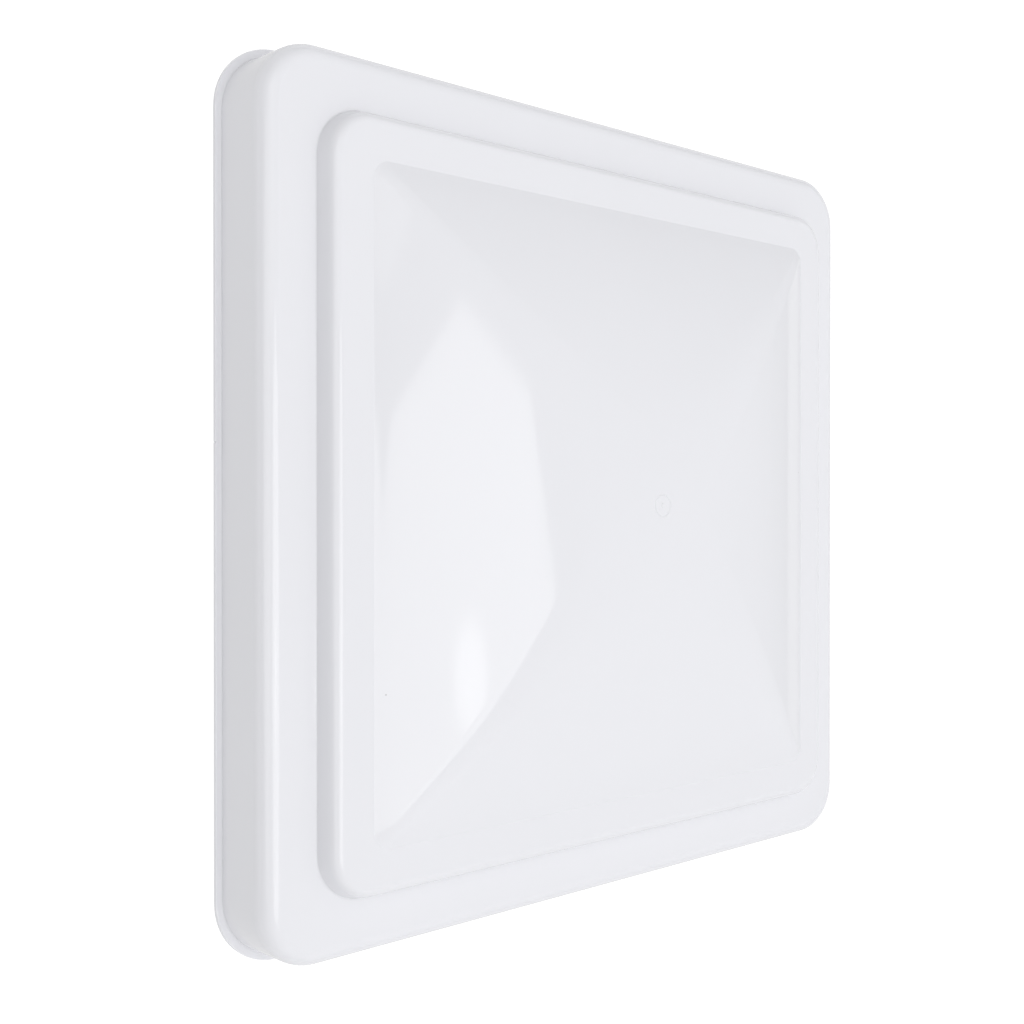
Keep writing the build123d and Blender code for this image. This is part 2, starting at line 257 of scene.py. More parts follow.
def crease_radius(half):
    climbed = 1 - half / crown_half
    crisper = 3.5 * min(1, climbed / 0.04)  # the crease tightens just above the crown's foot
    return min(nearly_round * half, crown_radius - crisper + 42 * climbed**1.5)


def crown(base, steps=44):
    line = []
    for i in range(steps + 1):
        half = crown_half * (1 - i / steps) + crown_middle * i / steps
        line.append((half, crease_radius(half), base + crown_height(half)))
    return line


gate_mark = [
    (half, nearly_round * half, deck_height + crown_height(half) + step)
    for half, step in (
        (5.85, 0), (5.7, 0), (5.5, -0.2), (5.2, -0.2), (4.95, 0), (2.2, 0.02),
        (1.1, 0.02), (0.95, 0.18), (0.7, 0.22), (0.2, 0.22),
    )
]
inner_top = [
    (half, nearly_round * half, deck_height - wall + crown_height(half)) for half in (3.0, 0.5)
]
base_line = [  # a fine groove round the crown's foot
    (148.6, 9.1, deck_height), (148.3, 8.8, deck_height), (147.95, 8.45, deck_height - 0.07),
]
print("crown stands", round(crown_height(0), 1), "mm over the deck")

# %% [markdown]
# The rim flange
#
# At its foot the skirt turns out into a narrow flange, which stiffens the rim and throws water
# clear of the opening. Its edges are only just broken, as a mould leaves them.

# %% Contours of the rim
flange_top = 2.0
flange = [
    (skirt_half - skirt_inset + 0.35, skirt_radius - skirt_inset + 0.35, 0),
    (199.0, 29.4, 0), (199.65, 29.7, 0), (199.88, 29.9, 0.12), (200, 30, 0.35),
    (200, 30, flange_top - 0.4), (199.88, 29.9, flange_top - 0.12), (199.6, 29.7, flange_top),
    (199.0, 29.5, flange_top), (197.9, 29.3, flange_top), (197.45, 29.1, flange_top + 0.08),
    (197.2, 28.95, flange_top + 0.28), (197.05, 28.9, flange_top + 0.7),
]
inner_foot = [(skirt_half - skirt_inset - 0.02, skirt_radius - skirt_inset - 0.02, 0.35)]
inside = inner_foot + inner_skirt[1:] + inner_step + crown(deck_height - wall) + inner_top
outside = flange + outer_skirt[1:] + outer_step + base_line + crown(deck_height) + gate_mark
contours = inside[::-1] + outside
print(len(contours), "contours in all")


# %% Extrude the skin from contour to contour
def extruded_contours(name, line, corner_steps=18):
    nothing_selected()
    half, radius, height = (v * mm for v in line[0])
    bpy.ops.mesh.primitive_plane_add(size=2 * half, location=(0, 0, 0))
    piece = named(name)
    bpy.ops.object.mode_set(mode="EDIT")
    bpy.ops.mesh.select_all(action="SELECT")
    bpy.ops.mesh.bevel(affect="VERTICES", offset=radius, segments=corner_steps, profile=0.5)
    bpy.ops.transform.translate(value=(0, 0, height))
    bpy.ops.mesh.delete(type="ONLY_FACE")
    bpy.ops.mesh.select_mode(type="EDGE")
    bpy.ops.mesh.select_all(action="SELECT")
    for old, new in zip(line, line[1:]):
        bpy.ops.mesh.extrude_edges_move()
        mesh = bmesh.from_edit_mesh(piece.data)
        old_middle, new_middle = (old[0] - old[1]) * mm, (new[0] - new[1]) * mm
        for point in (v for v in mesh.verts if v.select):
            x, y = point.co.xy
            turn = atan2(abs(y) - old_middle, abs(x) - old_middle)
            point.co.x = copysign(new_middle + new[1] * mm * cos(turn), x)
            point.co.y = copysign(new_middle + new[1] * mm * sin(turn), y)
            point.co.z = new[2] * mm
        bmesh.update_edit_mesh(piece.data)
    bpy.ops.mesh.merge(type="CENTER")
    bpy.ops.mesh.select_all(action="DESELECT")
    mesh = bmesh.from_edit_mesh(piece.data)
    for edge in mesh.edges:
        edge.select_set(edge.is_boundary)
    bpy.ops.mesh.merge(type="CENTER")
    bpy.ops.object.mode_set(mode="OBJECT")
    outward(piece)
    return piece


lid = extruded_contours("lid_moulding", contours)
tell(lid)

# %% [markdown]
# Bosses, rivet holes and the notch
#
# Under the deck, front and rear, stand two pairs of round bosses that take the track's screws.
# The skirt has a row of holes for the hinge's rivets, and the flange stops short of the hinge so
# that its upper leaf can pass. These are the places where something was added to or cut from a
# finished form, so each is a small solid that is joined to the lid or taken from it.


# %% Tools that add and cut
def moved(x, y, z):
    return Matrix.Translation(Vector((x, y, z)) * mm)


def tool_cylinder(radius, length, place, sides=40):
    """A cylinder along the place's Z, from its origin upwards."""
    nothing_selected()
    bpy.ops.mesh.primitive_cylinder_add(
        vertices=sides, radius=radius * mm, depth=length * mm, location=(0, 0, length * mm / 2)
    )
    piece = named("tool")
    bpy.ops.object.transform_apply()
    piece.data.transform(place)
    return piece


def combine(piece, tools, operation):
    tool = take(*tools)
    if len(tools) > 1:
        bpy.ops.object.join()
    apply(piece, "BOOLEAN", operation=operation, solver="EXACT", object=tool)
    bpy.data.objects.remove(tool)
    print(operation.lower(), "leaves", len(piece.data.polygons), "faces")


# %% Four bosses with their pilot holes
boss_seat, boss_radius, boss_length = 33.0, 4.5, 9.6
pilot_radius, pilot_length = 1.6, 9.0
boss_places = [(x, y) for x in (-6.5, 6.5) for y in (-156.0, 156.0)]
bosses = []
for x, y in boss_places:
    boss = tool_cylinder(boss_radius, boss_length, moved(x, y, boss_seat))
    edit(boss)
    pick(boss, "faces", lambda face: face.normal.z < -0.9)
    bpy.ops.mesh.inset(thickness=0.5 * mm)
    bpy.ops.transform.translate(value=(0, 0, -0.001 * mm))
    bpy.ops.object.mode_set(mode="OBJECT")
    bosses.append(boss)
combine(lid, bosses, "UNION")
pilots = [
    tool_cylinder(pilot_radius, pilot_length, moved(x, y, boss_seat - 0.5), 24)
    for x, y in boss_places
]
combine(lid, pilots, "DIFFERENCE")


# %% Rivet holes, the nick in the flange and the notch for the hinge
def hinge_face(lean, y, z):
    """A face as a place: its Z points out of the face, its Y up it, and its X to the left."""
    return Matrix((
        (-1, 0, 0, 0), (0, -sin(lean), cos(lean), y * mm),
        (0, cos(lean), sin(lean), z * mm), (0, 0, 0, 1),
    ))


rear_skirt = hinge_face(skirt_lean, skirt_half, 0)
rivet_height, rivet_hole = 12.78, 1.6
rivet_places = [(x, rivet_height) for x in (-124, -62, 0, 62, 124)]
nick_middle, nick_size = Vector((-27, -200.2, 1)), Vector((0.5, 1.4, 4))
notch_size, notch_out = Vector((296, 8, 8)), 4.02  # and how far its middle stands off the skirt
nothing_selected()
bpy.ops.mesh.primitive_cube_add(size=1, location=nick_middle * mm, scale=nick_size * mm)
parting_nick = named("tool")
bpy.ops.object.transform_apply()
combine(lid, [parting_nick], "DIFFERENCE")
holes = [
    tool_cylinder(rivet_hole, 6.0, rear_skirt @ moved(x, y, -4.0), 24)
    for x, y in rivet_places
]
combine(lid, holes, "DIFFERENCE")
nothing_selected()
bpy.ops.mesh.primitive_cube_add(size=1, location=(0, 0, 0), scale=notch_size * mm)
notch = named("tool")
bpy.ops.object.transform_apply()
notch.data.transform(rear_skirt @ moved(0, 0, notch_out))
combine(lid, [notch], "DIFFERENCE")
smooth(lid)
set_down(lid, on_the_rim)
tell(lid)

# %% [markdown]
# The foam seal
#
# Four strips of foam tape are stuck under the shelf, the front and rear ones running past the
# side ones, with their corners snipped off to clear the lid's round corners. The foam is soft,
# so its edges are rounded, and a shallow dent runs along each strip where it has been pressed
# on the vent's upstand. Each strip starts as a block in its own place, is cut across its corner
# with bisect, and gets its dent from two insets of its lower face.

# %% Cut the four strips
seal_names = ("seal_front", "seal_rear", "seal_left", "seal_right")
seal_half = (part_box("seal_front")[1].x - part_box("seal_front")[0].x) / 2
seal_cut = 14.09 * mm  # how far the corner is snipped off along each side
foam_edge, foam_margin = 1.2 * mm, 2.2 * mm
dent_steps = ((0.8, 0.35), (0.8, 0.15))  # each inset of the dent: how far in, how far up


def foam_strip(node):
    low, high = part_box(node)
    nothing_selected()
    bpy.ops.mesh.primitive_cube_add(size=1, location=(low + high) / 2, scale=high - low)
    strip = named(node + "_foam")
    bpy.ops.object.transform_apply()
    edit(strip, "EDGE")
    for x, y in ((1, 1), (1, -1), (-1, 1), (-1, -1)):
        bpy.ops.mesh.select_all(action="SELECT")
        bpy.ops.mesh.bisect(
            plane_co=rim + Vector((x * seal_half, y * (seal_half - seal_cut), 0)),
            plane_no=(x, y, 0), use_fill=True, clear_outer=True,
        )
    bpy.ops.mesh.select_all(action="SELECT")
    bpy.ops.mesh.bevel(offset=foam_edge, segments=4)
    bpy.ops.mesh.select_mode(type="FACE")
    pick(strip, "faces", lambda face: face.normal.z < -0.99)
    bpy.ops.mesh.inset(thickness=foam_margin)
    for inwards, upwards in dent_steps:
        bpy.ops.mesh.inset(thickness=inwards * mm, depth=-upwards * mm)
    bpy.ops.object.mode_set(mode="OBJECT")
    outward(strip)
    smooth(strip, 50)
    tell(strip)
    return strip


seals = {node: foam_strip(node) for node in seal_names}

# %% [markdown]
# The piano hinge
#
# Each leaf is one strip of aluminium sheet. Tabs along its edge are rolled round the pin, and
# the tabs of the two leaves take turns along it. The end of a real rolled knuckle doesn't quite
# meet the leaf again: a thin seam shows along it. So each leaf is cut and drilled flat, like the
# blank, and its tabs are then rolled up with spin, which turns their end faces round the pin.

# %% Blank, drill and roll a leaf
sheet = 1.2
knuckle = 2.76  # from the hinge's face to the pin's middle
roll_angle = 298
leaf_half, leaf_corner, tab_half = 140, 3.0, 19.75
knuckle_middles = [-120, -80, -40, 0, 40, 80, 120]


def hinge_leaf(name, near, far, roll_at, tabs, holes, hole_radius, place):
    """near is the edge with the tabs, far the free edge and roll_at the pin, all up the face."""
    away = copysign(1, far - near)
    nothing_selected()
    bpy.ops.mesh.primitive_plane_add(size=1, location=(0, (near + far) / 2 * mm, 0))
    leaf = named(name)
    leaf.scale = 2 * leaf_half * mm, abs(far - near) * mm, 1
    bpy.ops.object.transform_apply()
    edit(leaf, "EDGE")
    for x in (x + end for x in tabs for end in (-tab_half, tab_half)):
        bpy.ops.mesh.select_all(action="SELECT")
        bpy.ops.mesh.bisect(plane_co=(x * mm, 0, 0), plane_no=(1, 0, 0))

    def of_a_tab(edge):
        """The quarter of a millimetre beside a tab stays flat, clear of the pin's caps."""
        x = (edge.verts[0].co.x + edge.verts[1].co.x) / 2 / mm
        return all(abs(v.co.y - near * mm) < 1e-6 for v in edge.verts) and any(
            abs(x - middle) < tab_half for middle in tabs
        )

    pick(leaf, "edges", of_a_tab)
    bpy.ops.mesh.extrude_edges_move(
        TRANSFORM_OT_translate={"value": (0, (roll_at - near) * mm, 0)}
    )
    bpy.ops.mesh.select_mode(type="FACE")
    bpy.ops.mesh.select_all(action="SELECT")
    bpy.ops.mesh.extrude_region_move(TRANSFORM_OT_translate={"value": (0, 0, sheet * mm)})
    bpy.ops.object.mode_set(mode="OBJECT")
    outward(leaf)
    edit(leaf, "EDGE")
    pick(leaf, "edges", lambda edge: all(
        abs(abs(v.co.x) - leaf_half * mm) < 1e-6 and abs(v.co.y - far * mm) < 1e-6
        for v in edge.verts
    ))
    bpy.ops.mesh.bevel(offset=leaf_corner * mm, segments=6)
    bpy.ops.object.mode_set(mode="OBJECT")
    combine(leaf, [
        tool_cylinder(hole_radius, 3 * sheet, moved(x, y, -sheet), 32)
        for x, y in holes
    ], "DIFFERENCE")
    apply(leaf, "BEVEL", width=0.12 * mm, segments=2, limit_method="ANGLE",
          angle_limit=radians(50))
    edit(leaf, "FACE")
    ends = pick(
        leaf, "faces", lambda face: abs(face.calc_center_median().y - roll_at * mm) < 1e-5
        and abs(face.normal.y) > 0.99,
    )
    bpy.ops.mesh.spin(
        steps=22, angle=radians(roll_angle) * away,
        center=(0, roll_at * mm, knuckle * mm), axis=(1, 0, 0),
    )
    bpy.ops.object.mode_set(mode="OBJECT")
    outward(leaf)
    smooth(leaf, 35)
    set_down(leaf, place)
    print(ends, "tab ends rolled")
    tell(leaf)
    return leaf


# %% Make both leaves
screw_places = [(x, 0) for x in (-115, -45, 45, 115)]
screw_hole = 2.2
curb_leaf = hinge_leaf(
    "curb_leaf", 11.74, -9.3, 15.0, knuckle_middles[0::2], screw_places, screw_hole,
    hinge_face(0, 0, 0),
)
cover_leaf = hinge_leaf(
    "cover_leaf", 0.5, 25.06, -4.0, knuckle_middles[1::2], rivet_places, rivet_hole,
    on_the_rim @ rear_skirt,
)

# %% [markdown]
# Turned and pressed small parts
#
# A rivet, like anything round, is a stack of circles: each is extruded from the last and then
# scaled and moved. The blind rivet has a low domed head with the little pit its mandrel leaves
# when it snaps, and a bulged tail on the washer inside. One is made, and the others are copies
# with meshes of their own, joined into the one row of rivets.


# %% Turn a profile
def turned(name, profile, sides=40):
    """A closed round solid from (radius, height) pairs; it starts and ends on its axis."""
    nothing_selected()
    radius, height = profile[0]
    bpy.ops.mesh.primitive_circle_add(
        vertices=sides, radius=radius * mm, location=(0, 0, height * mm), fill_type="TRIFAN"
    )
    piece = named(name)
    bpy.ops.object.transform_apply()
    edit(piece, "EDGE")
    pick(piece, "edges", lambda edge: edge.is_boundary)
    for old, new in zip(profile, profile[1:]):
        bpy.ops.mesh.extrude_edges_move(
            TRANSFORM_OT_translate={"value": (0, 0, (new[1] - old[1]) * mm)}
        )
        bpy.ops.transform.resize(value=(new[0] / old[0], new[0] / old[0], 1))
    bpy.ops.mesh.merge(type="CENTER")
    bpy.ops.object.mode_set(mode="OBJECT")
    outward(piece)
    return piece


def dome(radius, low, high, edge, steps=5):
    """The outline of a low head from its rim to its top, with a round shoulder."""
    return [(radius, low), (radius, high - edge)] + [
        (radius - edge + edge * cos(turn), high - edge + edge * sin(turn))
        for turn in (pi / 2 * i / steps for i in range(1, steps + 1))
    ]


# %% Set the row of rivets
pit = [(0.6, 1.7), (0.8, 1.72), (0.95, 2.25)]
head = [(r, z + sheet) for r, z in dome(3.2, 0, 1.1, 0.9)[::-1]]
shank_and_tail = [
    (rivet_hole, sheet), (rivet_hole, -3.2), (2.2, -3.2), (2.4, -3.5), (2.4, -4.6),
    (2.2, -5.1), (1.8, -5.4), (1.0, -5.4), (0.9, -5.1), (0.3, -5.1),
]


def copies(piece, places, name):
    made = []
    for place in places:
        copy = piece.copy()
        copy.data = piece.data.copy()
        copy.data.transform(place)
        bpy.context.scene.collection.objects.link(copy)
        made.append(copy)
    bpy.data.objects.remove(piece)
    take(*made)
    bpy.ops.object.join()
    return named(name)


rivets = copies(
    turned("rivet", pit + head + shank_and_tail),
    [moved(x, y, 0) for x, y in rivet_places], "rivet_row",
)
smooth(rivets, 40)
set_down(rivets, on_the_rim @ rear_skirt)
tell(rivets)

# %% [markdown]
# Finishes
#
# A finish is a material: a shader that takes its colour, gloss and small bumps from procedural
# patterns in the space round the object. What several finishes share is built once, as a node
# group. The first of them, grain, gives three fields that vary over the surface: a height for
# bumps, a mask for changes of gloss, and a slow drift for colour. A Mapping before it stretches
# the pattern, so that the same group draws rolling lines on sheet and drawn lines on wire.


# %% The grain group
def group_with(name, inputs, outputs):
    group = bpy.data.node_groups.new(name, "ShaderNodeTree")
    for label, kind, value in inputs:
        socket = group.interface.new_socket(name=label, in_out="INPUT", socket_type=kind)
        if value is not None:
            socket.default_value = value
    for label in outputs:
        group.interface.new_socket(name=label, in_out="OUTPUT", socket_type="NodeSocketFloat")
    return group, group.nodes.new("NodeGroupInput"), group.nodes.new("NodeGroupOutput")


def node(tree, kind, **values):
    made = tree.nodes.new("ShaderNode" + kind)
    for name, value in values.items():
        if hasattr(made, name):
            setattr(made, name, value)
        else:
            made.inputs[name.replace("_", " ")].default_value = value
    return made


def wire(tree, *pairs):
    for source, target in pairs:
        tree.links.new(source, target)


grain, grain_in, grain_out = group_with(
    "grain",
    [("Place", "NodeSocketVector", None), ("Size", "NodeSocketFloat", 1000.0),
     ("Slow size", "NodeSocketFloat", 60.0), ("Detail", "NodeSocketFloat", 4.0)],
    ["Height", "Mask", "Drift"],
)
fine = node(grain, "TexNoise", noise_dimensions="3D", Roughness=0.6)
slow = node(grain, "TexNoise", noise_dimensions="3D", Detail=3.0, Roughness=0.55)
mask = node(grain, "MapRange", From_Min=0.38, From_Max=0.64)
wire(
    grain,
    (grain_in.outputs["Place"], fine.inputs["Vector"]),
    (grain_in.outputs["Size"], fine.inputs["Scale"]),
    (grain_in.outputs["Detail"], fine.inputs["Detail"]),
    (grain_in.outputs["Place"], slow.inputs["Vector"]),
    (grain_in.outputs["Slow size"], slow.inputs["Scale"]),
    (fine.outputs["Fac"], grain_out.inputs["Height"]),
    (slow.outputs["Fac"], mask.inputs["Value"]),
    (mask.outputs["Result"], grain_out.inputs["Mask"]),
    (slow.outputs["Fac"], grain_out.inputs["Drift"]),
)
print("grain gives", [socket.name for socket in grain_out.inputs if socket.name])


# %% A finish with the grain in it
factor, first, second, colour_out = 0, 6, 7, 2  # the colour sockets of a Mix node


def finish(name, colour, dark, rough, size, slow_size, stretch=(1, 1, 1), bump=0.3, depth=0.02,
           metal=0.0, detail=4.0, **constants):
    """Colour drifts to dark, gloss runs between two values, and the grain makes bumps."""
    material = bpy.data.materials.new(name)
    material.use_nodes = True
    material.diffuse_color = (*colour, 1)
    tree = material.node_tree
    tree.nodes.clear()
    surface = node(tree, "BsdfPrincipled", Metallic=metal, **constants)
    output = node(tree, "OutputMaterial")
    place = node(tree, "TexCoord")
    mapping = node(tree, "Mapping", Scale=stretch)
    pattern = node(tree, "Group", node_tree=grain)
    pattern.inputs["Size"].default_value = size
    pattern.inputs["Slow size"].default_value = slow_size
    pattern.inputs["Detail"].default_value = detail
    tint = node(tree, "Mix", data_type="RGBA")
    tint.inputs[first].default_value = (*colour, 1)
    tint.inputs[second].default_value = (*dark, 1)
    gloss = node(tree, "MapRange", To_Min=rough[0], To_Max=rough[1])
    relief = node(tree, "Bump", Strength=bump, Distance=depth * mm)
    wire(
        tree,
        (place.outputs["Object"], mapping.inputs["Vector"]),
        (mapping.outputs["Vector"], pattern.inputs["Place"]),
        (pattern.outputs["Drift"], tint.inputs[factor]),
        (tint.outputs[colour_out], surface.inputs["Base Color"]),
        (pattern.outputs["Mask"], gloss.inputs["Value"]),
        (gloss.outputs["Result"], surface.inputs["Roughness"]),
        (pattern.outputs["Height"], relief.inputs["Height"]),
        (relief.outputs["Normal"], surface.inputs["Normal"]),
        (surface.outputs["BSDF"], output.inputs["Surface"]),
    )
    return material


finishes = {
    "seal_foam": finish(
        "closed_cell_foam", (0.030, 0.030, 0.033), (0.050, 0.050, 0.054), (0.75, 0.95), 1400, 150,
        bump=0.8, depth=0.25,
    ),
    "hinge_aluminium": finish(
        "rolled_aluminium", (0.80, 0.81, 0.82), (0.66, 0.67, 0.69), (0.28, 0.42), 900, 120,
        stretch=(0.04, 1, 1), bump=0.25, depth=0.02, metal=1.0,
    ),
    "rivet_aluminium": finish(
        "set_aluminium", (0.82, 0.82, 0.83), (0.66, 0.67, 0.68), (0.25, 0.45), 900, 400,
        bump=0.2, depth=0.02, metal=1.0,
    ),
    "pin_steel": finish(
        "drawn_steel", (0.60, 0.60, 0.61), (0.42, 0.42, 0.43), (0.22, 0.38), 1500, 300,
        stretch=(0.03, 1, 1), bump=0.2, depth=0.02, metal=1.0,
    ),
    "cap_nylon": finish(
        "black_nylon", (0.022, 0.022, 0.024), (0.034, 0.034, 0.036), (0.38, 0.52), 2600, 300,
        bump=0.4, depth=0.03,
    ),
    "washer_steel": finish(
        "zinc_washer", (0.66, 0.68, 0.71), (0.50, 0.52, 0.56), (0.25, 0.42), 1200, 500,
        bump=0.25, depth=0.02, metal=1.0,
    ),
    "galvanised_steel": finish(
        "galvanised_sheet", (0.68, 0.70, 0.72), (0.52, 0.54, 0.57), (0.30, 0.50), 700, 110,
        bump=0.2, depth=0.02, metal=1.0,
    ),
    "screw_steel": finish(
        "zinc_screw", (0.70, 0.71, 0.72), (0.54, 0.56, 0.58), (0.22, 0.38), 1200, 500,
        bump=0.2, depth=0.02, metal=1.0,
    ),
    "slider_nylon": finish(
        "natural_nylon", (0.80, 0.78, 0.71), (0.74, 0.71, 0.62), (0.30, 0.46), 1800, 90,
        bump=0.25, depth=0.02, Subsurface_Weight=0.15, Subsurface_Scale=1.5 * mm,
    ),
    "bush_brass": finish(
        "turned_brass", (0.72, 0.50, 0.20), (0.58, 0.38, 0.14), (0.20, 0.36), 2600, 400,
        stretch=(1, 0.02, 0.02), bump=0.3, depth=0.02, metal=1.0,
    ),
    "lid_plastic": finish(
        "white_lid_plastic", (0.83, 0.831, 0.862), (0.815, 0.816, 0.846), (0.05, 0.09), 420, 9,
        bump=0.06, depth=0.03, detail=2.0, Specular_IOR_Level=0.5,
    ),
}

# %% [markdown]
# The lid carries two pin pricks near the foot of its crown, a millimetre across, where the mould
# vents. They are too small to model in faces as long as the crown's, so the finish draws them as
# painted shade: a grey spot darkens the colour where the surface comes near either place.


# %% Pin pricks as painted shade in the lid's finish
def ends_of(tree):
    """A finish's shader, its place, and what feeds its colour and its gloss."""
    surface = next(n for n in tree.nodes if n.type == "BSDF_PRINCIPLED")
    place = next(n for n in tree.nodes if n.type == "TEX_COORD").outputs["Object"]
    tint = surface.inputs["Base Color"].links[0].from_socket
    return surface, place, tint, surface.inputs["Roughness"].links[0].from_socket


def painted_prick_shade(material, places, radius):
    tree = material.node_tree
    surface, place, tint, _ = ends_of(tree)
    nearest = node(tree, "Math", operation="MINIMUM")
    for spot, socket in zip(places, nearest.inputs):
        gap = node(tree, "VectorMath", operation="DISTANCE")
        gap.inputs[1].default_value = spot
        wire(tree, (place, gap.inputs[0]), (gap.outputs["Value"], socket))
    spot = node(tree, "MapRange", From_Min=radius * 0.6, From_Max=radius, To_Min=1.0, To_Max=0.0)
    # Painted shade: near either prick the colour turns grey, standing in for the shade inside the
    # pit.
    dark = node(tree, "Mix", data_type="RGBA")
    dark.inputs[second].default_value = (0.60, 0.60, 0.62, 1)
    wire(
        tree,
        (nearest.outputs["Value"], spot.inputs["Value"]),
        (spot.outputs["Result"], dark.inputs[factor]), (tint, dark.inputs[first]),
        (dark.outputs[colour_out], surface.inputs["Base Color"]),
    )


def on_crown(x, y):
    return rim + Vector((x, y, deck_height + crown_height(max(abs(x), abs(y))))) * mm


painted_prick_shade(finishes["lid_plastic"], [on_crown(81, -143), on_crown(-19, 143)], 0.5 * mm)
print(len(finishes), "finishes")

# %% [markdown]
# Zinc freezes on hot-dipped sheet in flat crystals a few millimetres across, the spangle. Each
# crystal takes the light in its own way, so a Voronoi pattern gives every cell its own shade and
# gloss on the track.


# %% Spangle on the track's zinc
def spangle(material, across):
    tree = material.node_tree
    surface, place, tint, gloss = ends_of(tree)
    crystals = node(tree, "TexVoronoi", Scale=1 / across)
    own = node(tree, "SeparateColor")
    shade = node(tree, "MapRange", To_Min=0.35, To_Max=1.0)
    shaded = node(tree, "Mix", data_type="RGBA")
    shaded.inputs[first].default_value = (0.46, 0.48, 0.51, 1)
    sheen = node(tree, "Math", operation="MULTIPLY_ADD")
    sheen.inputs[1].default_value = 0.14
    wire(
        tree,
        (place, crystals.inputs["Vector"]), (crystals.outputs["Color"], own.inputs["Color"]),
        (own.outputs["Red"], shade.inputs["Value"]),
        (shade.outputs["Result"], shaded.inputs[factor]), (tint, shaded.inputs[second]),
        (shaded.outputs[colour_out], surface.inputs["Base Color"]),
        (own.outputs["Green"], sheen.inputs[0]), (gloss, sheen.inputs[2]),
        (sheen.outputs["Value"], surface.inputs["Roughness"]),
    )


crystal = 5
spangle(finishes["galvanised_steel"], crystal * mm)
print("crystals", crystal, "mm across")


# %% [markdown]
# Put the finishes on, and hang each piece on its body
#
# The shell, the foam, the leaves and the rivets stand for their plain forms in the frame, which
# aren't shown. The other pieces keep their own exact forms and take only a finish.

# %% Dress the pieces
def dress(piece, slot_name):
    piece.data.materials.clear()
    piece.data.materials.append(finishes[slot_name])


slots_of_nodes = {
    "hinge_pin": "pin_steel", "hinge_cap_left": "cap_nylon", "hinge_cap_right": "cap_nylon",
    "rivet_washers": "washer_steel", "track_washers": "washer_steel",
    "lift_track": "galvanised_steel", "track_stop_front": "cap_nylon",
    "track_stop_rear": "cap_nylon", "track_screws": "screw_steel",
    "slider_shoe": "slider_nylon", "arm_bush": "bush_brass",
}
for name, slot_name in slots_of_nodes.items():
    dress(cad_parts[name], slot_name)

modelled = [
    (lid, "cover_shell", "cover", "lid_plastic"),
    (curb_leaf, "frame_hinge_leaf", "hinge_frame", "hinge_aluminium"),
    (cover_leaf, "cover_hinge_leaf", "cover", "hinge_aluminium"),
    (rivets, "hinge_rivets", "cover", "rivet_aluminium"),
] + [(strip, node_name, "cover", "seal_foam") for node_name, strip in seals.items()]
for piece, node_name, body, slot_name in modelled:
    dress(piece, slot_name)
    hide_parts(node_name)
    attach(piece, body)
print(len(modelled), "modelled pieces and", len(slots_of_nodes), "exact ones")

# %% [markdown]
# Floor and light
#
# The lid lies closed over a plain white floor. A light tent gives white plastic an even look, so
# the world is a soft dome, brightest overhead and towards the hinge and dimmer low down in
# front, which lets the skirt turn a shade darker. One large soft box hangs overhead and shows as
# a pale shape in the gloss. Two weaker ones light the left and the front.
#
# A floor bright enough to look pure white would light the skirt from below as strongly as the
# sky does from above. So its glow is a little weaker for every ray but the camera's own.

# %% The floor
nothing_selected()
bpy.ops.mesh.primitive_plane_add(size=30, location=(0, 0, cad_box[0][2] - 0.05 * mm))
floor = named("floor")
floor_finish = bpy.data.materials.new("white_floor")
floor_finish.use_nodes = True
floor_surface = floor_finish.node_tree.nodes["Principled BSDF"]
floor_surface.inputs["Base Color"].default_value = (0.15, 0.15, 0.15, 1)
floor_surface.inputs["Roughness"].default_value = 0.9
floor_surface.inputs["Specular IOR Level"].default_value = 0.1
floor_surface.inputs["Emission Color"].default_value = (1, 1, 1, 1)
seen_or_lit_from = floor_finish.node_tree.nodes.new("ShaderNodeLightPath")
floor_glow = node(floor_finish.node_tree, "MapRange", To_Min=0.71, To_Max=0.95)
wire(
    floor_finish.node_tree,
    (seen_or_lit_from.outputs["Is Camera Ray"], floor_glow.inputs["Value"]),
    (floor_glow.outputs["Result"], floor_surface.inputs["Emission Strength"]),
)
floor.data.materials.append(floor_finish)
print("floor", round(floor.location.z / mm, 2), "mm high")

# %% The sky
world = bpy.data.worlds.new("soft_tent")
bpy.context.scene.world = world
world.use_nodes = True
sky = world.node_tree
sky.nodes.clear()
direction = node(sky, "TexCoord")
parts = node(sky, "SeparateXYZ")
lean = node(sky, "VectorMath", operation="DOT_PRODUCT")
lean.inputs[1].default_value = Vector((0.36, 0.26, 0.93)).normalized()
level = node(sky, "MapRange", From_Min=-0.45, From_Max=0.85, To_Min=0.27, To_Max=0.865)
level.interpolation_type = "SMOOTHSTEP"
front = node(sky, "MapRange", From_Min=-1.0, From_Max=-0.6, To_Min=0.60, To_Max=1.0)
front.interpolation_type = "SMOOTHSTEP"
strength = node(sky, "Math", operation="MULTIPLY")
background = node(sky, "Background", Color=(0.985, 0.99, 1.0, 1))
sky_output = sky.nodes.new("ShaderNodeOutputWorld")
wire(
    sky,
    (direction.outputs["Generated"], lean.inputs[0]),
    (lean.outputs["Value"], level.inputs["Value"]),
    (direction.outputs["Generated"], parts.inputs["Vector"]),
    (parts.outputs["Y"], front.inputs["Value"]),
    (level.outputs["Result"], strength.inputs[0]),
    (front.outputs["Result"], strength.inputs[1]),
    (strength.outputs["Value"], background.inputs["Strength"]),
    (background.outputs["Background"], sky_output.inputs["Surface"]),
)
print("sky brightest towards", [round(v, 2) for v in lean.inputs[1].default_value])


# %% Soft boxes
def toward(across, along):
    """The direction seen from the lid at these angles from straight up, towards X and Y."""
    return Vector((tan(radians(across)), tan(radians(along)), 1)).normalized()


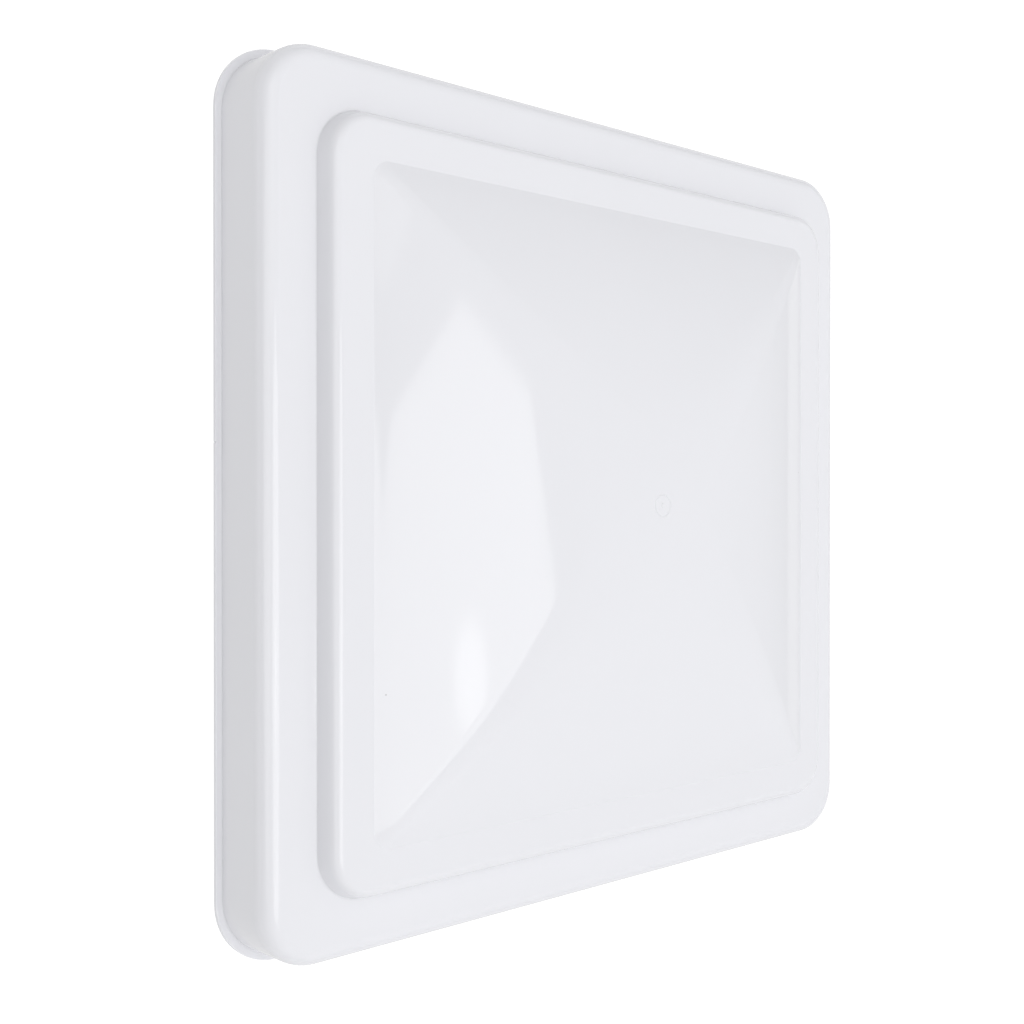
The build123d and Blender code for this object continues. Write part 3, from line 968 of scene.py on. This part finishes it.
def octabox(name, across, along, half_angle, radiance, distance=4.0):
    """An eight-sided cloth panel that glows evenly. It lights the lid and shows in its gloss."""
    glow = bpy.data.materials.new(name)
    glow.use_nodes = True
    glow.node_tree.nodes.clear()
    cloth = node(glow.node_tree, "Emission", Strength=radiance, Color=(1, 1, 1, 1))
    output = node(glow.node_tree, "OutputMaterial")
    wire(glow.node_tree, (cloth.outputs["Emission"], output.inputs["Surface"]))
    way = toward(across, along)
    facing, corner_up = (-way).to_track_quat("-Z", "Y"), Quaternion((0, 0, 1), radians(22.5))
    nothing_selected()
    bpy.ops.mesh.primitive_circle_add(
        vertices=8, radius=distance * tan(radians(half_angle)), fill_type="NGON",
        location=rim + way * distance, rotation=(facing @ corner_up).to_euler(),
    )
    panel = named(name)
    panel.data.materials.append(glow)
    panel.visible_camera = False


octabox("overhead_octabox", 8, 3.8, 18.6, 2.6)
octabox("bulb_behind_its_cloth", 9, 4.4, 3.2, 4.5, distance=3.9)
octabox("side_octabox", -26, -20, 17.0, 1.5)
octabox("front_octabox", 0, -48, 20.0, 1.4)

# %% [markdown]
# Camera
#
# The camera looks down on the lid from beyond its free edge and lies on its side, so that the
# hinge is to the right. Its three directions are worked out as vectors and put straight into its
# matrix: which way it looks, which way is right, and which way is up.

# %% Camera
nothing_selected()
camera_place = rim + Vector((0, -442.57, 486.15)) * mm
bpy.ops.object.camera_add(location=camera_place)
camera = bpy.context.active_object
camera.data.lens = 43.54
camera.data.sensor_width = 36.0
view_down, view_turned = radians(40.08), radians(-0.30)
look = Vector((0, sin(view_down), -cos(view_down)))
right = Vector((0, cos(view_down), sin(view_down)))
look = (Matrix.Rotation(view_turned, 3, right) @ look).normalized()
up = right.cross(look)
camera.matrix_world = Matrix((
    (right.x, up.x, -look.x, camera_place.x), (right.y, up.y, -look.y, camera_place.y),
    (right.z, up.z, -look.z, camera_place.z), (0, 0, 0, 1),
))
camera.data.clip_start, camera.data.clip_end = 0.01, 100
bpy.context.scene.camera = camera
bpy.context.scene.view_settings.view_transform = "Standard"
print("camera at", [round(v, 3) for v in camera_place], "up", [round(v, 3) for v in up])
